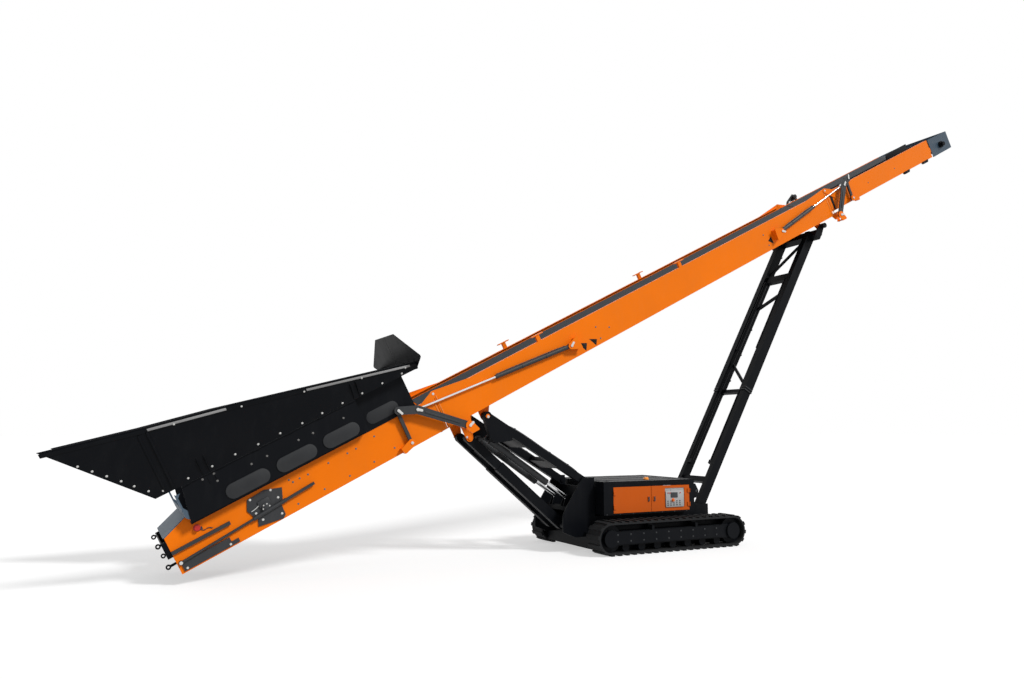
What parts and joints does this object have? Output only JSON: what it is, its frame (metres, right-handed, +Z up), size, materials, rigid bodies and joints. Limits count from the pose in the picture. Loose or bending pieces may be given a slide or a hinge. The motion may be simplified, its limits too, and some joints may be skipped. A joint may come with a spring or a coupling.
{
  "type": "tracked belt stacker conveyor",
  "caption": "Mobile belt stacker on crawler tracks, with a folding tail and head, feed hopper, lift arms and telescopic rear legs.",
  "frame": {"origin": "centre of the overall bounding box, on the ground under the tracks", "axes": "+X from the hopper end to the discharge end, +Z up, -Y the side with the control panel"},
  "size_m": [23.7813, 3.5718, 11.8268],
  "materials": {
    "orange_paint": "semi-gloss orange paint",
    "black_paint": "satin black paint",
    "grey_paint": "satin dark grey paint",
    "blue_grey_paint": "satin blue-grey paint",
    "slate_paint": "satin slate paint",
    "track_rubber": "matt black track",
    "belt_rubber": "matt black belt",
    "bare_steel": "bright cylinder rod",
    "roller_steel": "worn grey rollers",
    "engine_iron": "plain block",
    "beacon_lens": "amber lens",
    "siren_red": "red plastic",
    "panel_plastic": "control panel"
  },
  "bodies": {
    "base": {"track_near": "track_rubber", "track_far": "track_rubber", "track_frames": "black_paint", "base_frame": "black_paint", "power_enclosure": "black_paint", "vent_grille": "grey_paint", "engine_block": "engine_iron", "beacon": "beacon_lens", "upper_arms": "black_paint", "lower_arms": "black_paint", "lift_barrels": "grey_paint", "lift_rods": "bare_steel"},
    "lower_arm_heads": {"lower_arm_heads": "black_paint"},
    "door_near_front": {"door_near_front": "orange_paint"},
    "door_near_rear": {"door_near_rear": "orange_paint", "control_panel": "panel_plastic"},
    "door_far_front": {"door_far_front": "orange_paint"},
    "door_far_rear": {"door_far_rear": "orange_paint"},
    "leg_outer": {"leg_outer": "black_paint"},
    "leg_inner": {"leg_inner": "black_paint"},
    "mid_section": {"mid_sides": "orange_paint", "fold_lugs": "grey_paint", "mid_idlers": "roller_steel", "mid_return_rollers": "roller_steel", "mid_belt": "belt_rubber", "transport_rests": "orange_paint"},
    "tail_section": {"tail_sides": "orange_paint", "tail_idlers": "roller_steel", "tail_belt": "belt_rubber", "tail_bearings": "grey_paint", "tail_hood": "blue_grey_paint", "tension_gear": "black_paint", "tow_hooks": "black_paint", "siren": "siren_red", "hopper_skirts": "black_paint"},
    "hopper_flap_near": {"hopper_flap_near": "black_paint"},
    "hopper_flap_far": {"hopper_flap_far": "black_paint"},
    "head_section": {"head_sides": "orange_paint", "head_idlers": "roller_steel", "head_belt": "belt_rubber", "head_bearings": "grey_paint", "head_guard": "slate_paint", "drum_motors": "black_paint"},
    "tail_drum": {"tail_drum": "roller_steel"},
    "head_drum": {"head_drum": "roller_steel"},
    "tail_fold_links": {"tail_fold_links": "grey_paint"},
    "tail_fold_struts": {"tail_fold_struts": "grey_paint"},
    "tail_fold_barrels": {"tail_fold_barrels": "grey_paint"},
    "tail_fold_rods": {"tail_fold_rods": "bare_steel"},
    "head_fold_links": {"head_fold_links": "grey_paint"},
    "head_fold_struts": {"head_fold_struts": "grey_paint"},
    "head_fold_barrels": {"head_fold_barrels": "grey_paint"},
    "head_fold_rods": {"head_fold_rods": "bare_steel"}
  },
  "joints": [
    {"name": "conveyor_luff", "type": "hinge", "parent": "base", "child": "mid_section", "pos_m": [-3.7678, 0, 2.96], "axis": [0, 1, 0], "range_deg": [0, 20]},
    {"name": "leg_swing", "type": "hinge", "parent": "base", "child": "leg_inner", "pos_m": [1.8902, 0, 0.78], "axis": [0, 1, 0], "range_deg": [0, 26]},
    {"name": "leg_extend", "type": "slide", "parent": "leg_inner", "child": "leg_outer", "axis": [-0.499, 0, -0.8666], "range_m": [0, 1.98]},
    {"name": "lower_arm_extend", "type": "slide", "parent": "base", "child": "lower_arm_heads", "axis": [-0.7626, 0, 0.6468], "range_m": [0, 0.19]},
    {"name": "tail_fold", "type": "hinge", "parent": "mid_section", "child": "tail_section", "pos_m": [-5.10935, 0, 3.38972], "axis": [0, 1, 0], "range_deg": [0, 177]},
    {"name": "head_fold", "type": "hinge", "parent": "mid_section", "child": "head_section", "pos_m": [6.28722, 0, 9.19296], "axis": [0, -1, 0], "range_deg": [0, 177]},
    {"name": "tail_link_swing", "type": "hinge", "parent": "mid_section", "child": "tail_fold_links", "pos_m": [-4.35593, 0, 2.76105], "axis": [0, 1, 0], "range_deg": [0, 93]},
    {"name": "tail_strut_swing", "type": "hinge", "parent": "tail_section", "child": "tail_fold_struts", "pos_m": [-5.57128, 0, 2.41385], "axis": [0, -1, 0], "range_deg": [0, 52]},
    {"name": "tail_barrel_swing", "type": "hinge", "parent": "mid_section", "child": "tail_fold_barrels", "pos_m": [-1.9135, 0, 4.50746], "axis": [0, 1, 0], "range_deg": [0, 6]},
    {"name": "tail_rod_stroke", "type": "slide", "parent": "tail_fold_barrels", "child": "tail_fold_rods", "axis": [0.9272, 0, 0.3745], "range_m": [0, 1.68]},
    {"name": "head_link_swing", "type": "hinge", "parent": "mid_section", "child": "head_fold_links", "pos_m": [6.69882, 0, 8.53191], "axis": [0, -1, 0], "range_deg": [0, 92]},
    {"name": "head_strut_swing", "type": "hinge", "parent": "head_section", "child": "head_fold_struts", "pos_m": [7.29438, 0, 9.10209], "axis": [0, -1, 0], "range_deg": [0, 15]},
    {"name": "head_barrel_swing", "type": "hinge", "parent": "mid_section", "child": "head_fold_barrels", "pos_m": [4.52671, 0, 7.82839], "axis": [0, -1, 0], "range_deg": [0, 1]},
    {"name": "head_rod_stroke", "type": "slide", "parent": "head_fold_barrels", "child": "head_fold_rods", "axis": [-0.8323, 0, -0.5543], "range_m": [0, 1.29]},
    {"name": "hopper_flap_near_fold", "type": "hinge", "parent": "tail_section", "child": "hopper_flap_near", "pos_m": [-10.28988, -1.1, 1.42627], "axis": [0.8901, 0, 0.4559], "range_deg": [0, 148]},
    {"name": "hopper_flap_far_fold", "type": "hinge", "parent": "tail_section", "child": "hopper_flap_far", "pos_m": [-10.28988, 1.1, 1.42627], "axis": [-0.8901, 0, -0.4559], "range_deg": [0, 148]},
    {"name": "door_near_front_hinge", "type": "hinge", "parent": "base", "child": "door_near_front", "pos_m": [-0.8718, -1.018, 1.12], "axis": [0, 0, -1], "range_deg": [0, 100]},
    {"name": "door_near_rear_hinge", "type": "hinge", "parent": "base", "child": "door_near_rear", "pos_m": [1.2362, -1.018, 1.12], "axis": [0, 0, 1], "range_deg": [0, 100]},
    {"name": "door_far_front_hinge", "type": "hinge", "parent": "base", "child": "door_far_front", "pos_m": [-0.8718, 1.018, 1.12], "axis": [0, 0, 1], "range_deg": [0, 100]},
    {"name": "door_far_rear_hinge", "type": "hinge", "parent": "base", "child": "door_far_rear", "pos_m": [1.2362, 1.018, 1.12], "axis": [0, 0, -1], "range_deg": [0, 100]},
    {"name": "tail_drum_spin", "type": "hinge", "parent": "tail_section", "child": "tail_drum", "pos_m": [-9.52435, 0, 0.6555], "axis": [0, 1, 0], "continuous": true},
    {"name": "head_drum_spin", "type": "hinge", "parent": "head_section", "child": "head_drum", "pos_m": [11.36521, 0, 11.35443], "axis": [0, 1, 0], "continuous": true}
  ],
  "couplings": [
    {"joint": "leg_swing", "follows": "conveyor_luff", "ratio": 1.295},
    {"joint": "leg_extend", "follows": "conveyor_luff", "m_per_rad": 5.6436},
    {"joint": "lower_arm_extend", "follows": "conveyor_luff", "m_per_rad": 0.53672},
    {"joint": "tail_link_swing", "follows": "tail_fold", "ratio": 0.5226},
    {"joint": "tail_strut_swing", "follows": "tail_fold", "ratio": 0.28847},
    {"joint": "tail_barrel_swing", "follows": "tail_fold", "ratio": 0.02904},
    {"joint": "tail_rod_stroke", "follows": "tail_fold", "m_per_rad": 0.53978},
    {"joint": "hopper_flap_near_fold", "follows": "tail_fold", "ratio": 0.83051},
    {"joint": "hopper_flap_far_fold", "follows": "tail_fold", "ratio": 0.83051},
    {"joint": "head_link_swing", "follows": "head_fold", "ratio": 0.51458},
    {"joint": "head_strut_swing", "follows": "head_fold", "ratio": 0.080169},
    {"joint": "head_barrel_swing", "follows": "head_fold", "ratio": 0.002994},
    {"joint": "head_rod_stroke", "follows": "head_fold", "m_per_rad": 0.41282}
  ]
}
